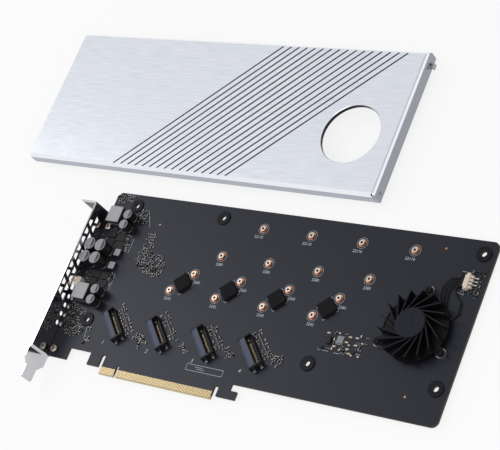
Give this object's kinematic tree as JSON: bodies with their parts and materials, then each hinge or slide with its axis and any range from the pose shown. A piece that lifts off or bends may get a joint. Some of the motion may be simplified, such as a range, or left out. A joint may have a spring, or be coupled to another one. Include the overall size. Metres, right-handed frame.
{
  "type": "nvme adapter card",
  "caption": "Long expansion card with slanted drive-module sockets, a blower fan and a slotted steel bracket, its grooved metal cover set down behind it.",
  "frame": {"origin": "middle of the edge connector's key notch, at the contacts' leading edge, on the board's component face", "axes": "+X along the card from the bracket to the fan end, +Y up the card away from the edge contacts, +Z out of the component face"},
  "size_m": [0.3516, 0.2441, 0.0184],
  "materials": {
    "solder_mask": "glossy near-black solder mask over glass-fibre board",
    "gold_plating": "gold-plated copper",
    "nut_plating": "gold-flashed brass",
    "nickel_steel": "nickel-plated folded steel sheet",
    "screw_steel": "zinc-plated steel screw",
    "post_metal": "turned steel pillar",
    "cover_metal": "fine bead-blasted and anodised silver aluminium",
    "socket_plastic": "slate-grey moulded nylon",
    "black_plastic": "black moulded plastic",
    "fan_plastic": "dark moulded plastic, slightly glossy",
    "cream_plastic": "cream moulded nylon",
    "lever_plastic": "pinkish-grey moulded plastic",
    "lamp_plastic": "white lamp package",
    "ferrite": "pressed grey metal-powder block",
    "chip_mould": "black moulded package",
    "ceramic": "tan ceramic with tinned ends",
    "can_metal": "drawn aluminium can",
    "pad_foam": "soft grey heat-conducting pad",
    "bearing_bronze": "sintered bronze",
    "shaft_steel": "ground steel",
    "stator_plates": "stacked electrical steel",
    "coil_copper": "enamelled copper wire",
    "magnet_rubber": "bonded ferrite magnet",
    "tinned": "tinned terminal",
    "lead_sleeve": "black wire insulation"
  },
  "bodies": {
    "card": {"bracket": "nickel_steel", "bracket_screws": "screw_steel", "ceramic_capacitors": "ceramic", "circuit_board": "solder_mask", "cover_end_plate": "cover_metal", "cover_end_screws": "screw_steel", "cover_posts": "post_metal", "cover_shell": "cover_metal", "driver_chip": "chip_mould", "driver_diode": "chip_mould", "edge_contacts": "gold_plating", "fan_bearing": "bearing_bronze", "fan_coils": "coil_copper", "fan_frame": "fan_plastic", "fan_header": "cream_plastic", "fan_leads": "lead_sleeve", "fan_plug": "black_plastic", "fan_screws": "screw_steel", "fan_standoffs": "tinned", "fan_stator": "stator_plates", "header_pins": "tinned", "hole_collars": "black_plastic", "lower_choke": "ferrite", "m2_contacts_1": "gold_plating", "m2_contacts_2": "gold_plating", "m2_contacts_3": "gold_plating", "m2_contacts_4": "gold_plating", "m2_socket_1": "socket_plastic", "m2_socket_2": "socket_plastic", "m2_socket_3": "socket_plastic", "m2_socket_4": "socket_plastic", "module_nuts": "nut_plating", "power_chips": "chip_mould", "short_capacitor_cans": "can_metal", "small_chokes": "ferrite", "status_lamps": "lamp_plastic", "support_pad_1": "pad_foam", "support_pad_2": "pad_foam", "support_pad_3": "pad_foam", "support_pad_4": "pad_foam", "switch_body": "cream_plastic", "tall_capacitor_cans": "can_metal", "thermal_pads": "pad_foam", "upper_choke": "ferrite"},
    "rotor": {"fan_rotor": "fan_plastic", "fan_shaft": "shaft_steel", "fan_magnet": "magnet_rubber"},
    "slider": {"switch_slider": "lever_plastic"}
  },
  "joints": [
    {"name": "fan_spin", "type": "hinge", "parent": "card", "child": "rotor", "pos_m": [0.18415, 0.0619, 0.005], "axis": [0, 0, 1], "continuous": true},
    {"name": "switch_slide", "type": "slide", "parent": "card", "child": "slider", "axis": [0, -1, 0], "range_m": [0, 0.0016]}
  ]
}
